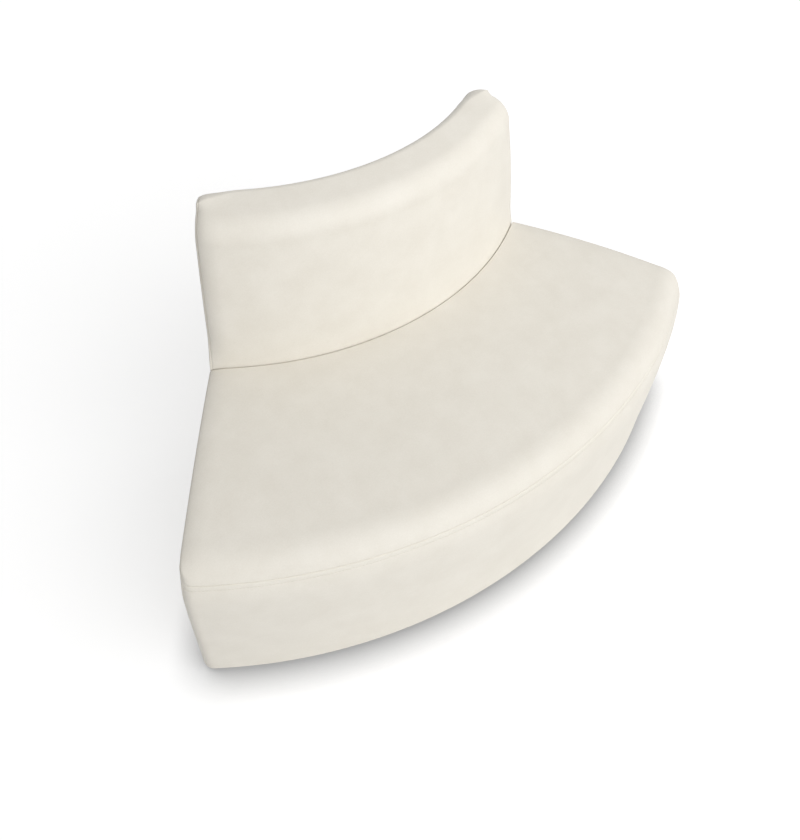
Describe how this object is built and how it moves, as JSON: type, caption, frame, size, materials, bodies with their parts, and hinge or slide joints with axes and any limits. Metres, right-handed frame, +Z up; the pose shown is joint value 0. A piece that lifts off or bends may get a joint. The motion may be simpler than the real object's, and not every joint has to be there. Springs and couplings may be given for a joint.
{
  "type": "modular sofa unit",
  "caption": "Curved modular sofa unit in pale leather cloth: a crowned seat with a rolled front edge, a low rolled back, flat ends that meet the next unit, and levelling glides below.",
  "frame": {"origin": "on the floor, under the middle of the overall box", "axes": "+Z up, front faces -Y, +X along the front; the upright axis of the curve is behind the unit on +Y"},
  "size_m": [1.3554, 0.6926, 0.8015],
  "materials": {
    "upholstery": "soft satin ivory coated cloth with a fine grain",
    "foam": "cut foam",
    "plywood": "raw birch plywood",
    "steel": "zinc plated",
    "glide": "black nylon",
    "dust": "black non-woven"
  },
  "bodies": {
    "unit": {"back_bolts": "steel", "back_bottom_rail": "plywood", "back_end_cover_left": "upholstery", "back_end_cover_right": "upholstery", "back_end_pad_left": "foam", "back_end_pad_right": "foam", "back_end_rib_left": "plywood", "back_end_rib_right": "plywood", "back_foam": "foam", "back_front_cover": "upholstery", "back_front_skin": "plywood", "back_rear_cover": "upholstery", "back_rear_skin": "plywood", "back_rib_centre": "plywood", "back_rib_left": "plywood", "back_rib_right": "plywood", "back_tee_nuts": "steel", "back_top_rail": "plywood", "back_washers": "steel", "base_end_panel_left": "plywood", "base_end_panel_right": "plywood", "base_end_rail_left": "plywood", "base_end_rail_right": "plywood", "base_front_rail": "plywood", "base_front_skin": "plywood", "base_rear_cover": "upholstery", "base_rear_rail": "plywood", "base_rear_skin": "plywood", "base_rib_centre": "plywood", "base_rib_left": "plywood", "base_rib_right": "plywood", "dust_sheet": "dust", "glide_tee_nuts": "steel", "link_pivots": "steel", "link_tee_nuts": "steel", "seat_deck": "plywood", "seat_end_cover_left": "upholstery", "seat_end_cover_right": "upholstery", "seat_end_pad_left": "foam", "seat_end_pad_right": "foam", "seat_foam": "foam", "seat_front_cover": "upholstery", "seat_front_pad": "foam", "seat_top_cover": "upholstery"},
    "glide_front_centre": {"glide_front_centre": "glide"},
    "glide_front_left": {"glide_front_left": "glide"},
    "glide_front_right": {"glide_front_right": "glide"},
    "glide_rear_left": {"glide_rear_left": "glide"},
    "glide_rear_right": {"glide_rear_right": "glide"},
    "link_plate_front": {"link_plate_front": "steel"},
    "link_plate_rear": {"link_plate_rear": "steel"}
  },
  "joints": [
    {"name": "glide_front_centre_screw", "type": "slide", "parent": "unit", "child": "glide_front_centre", "axis": [0, 0, -1], "range_m": [0, 0.012]},
    {"name": "glide_front_left_screw", "type": "slide", "parent": "unit", "child": "glide_front_left", "axis": [0, 0, -1], "range_m": [0, 0.012]},
    {"name": "glide_front_right_screw", "type": "slide", "parent": "unit", "child": "glide_front_right", "axis": [0, 0, -1], "range_m": [0, 0.012]},
    {"name": "glide_rear_left_screw", "type": "slide", "parent": "unit", "child": "glide_rear_left", "axis": [0, 0, -1], "range_m": [0, 0.012]},
    {"name": "glide_rear_right_screw", "type": "slide", "parent": "unit", "child": "glide_rear_right", "axis": [0, 0, -1], "range_m": [0, 0.012]},
    {"name": "link_plate_front_swing", "type": "hinge", "parent": "unit", "child": "link_plate_front", "pos_m": [0.54496, -0.04548, 0.0116], "axis": [0, 0, -1], "range_deg": [0, 90]},
    {"name": "link_plate_rear_swing", "type": "hinge", "parent": "unit", "child": "link_plate_rear", "pos_m": [0.36198, 0.20636, 0.0116], "axis": [0, 0, 1], "range_deg": [0, 90]}
  ]
}
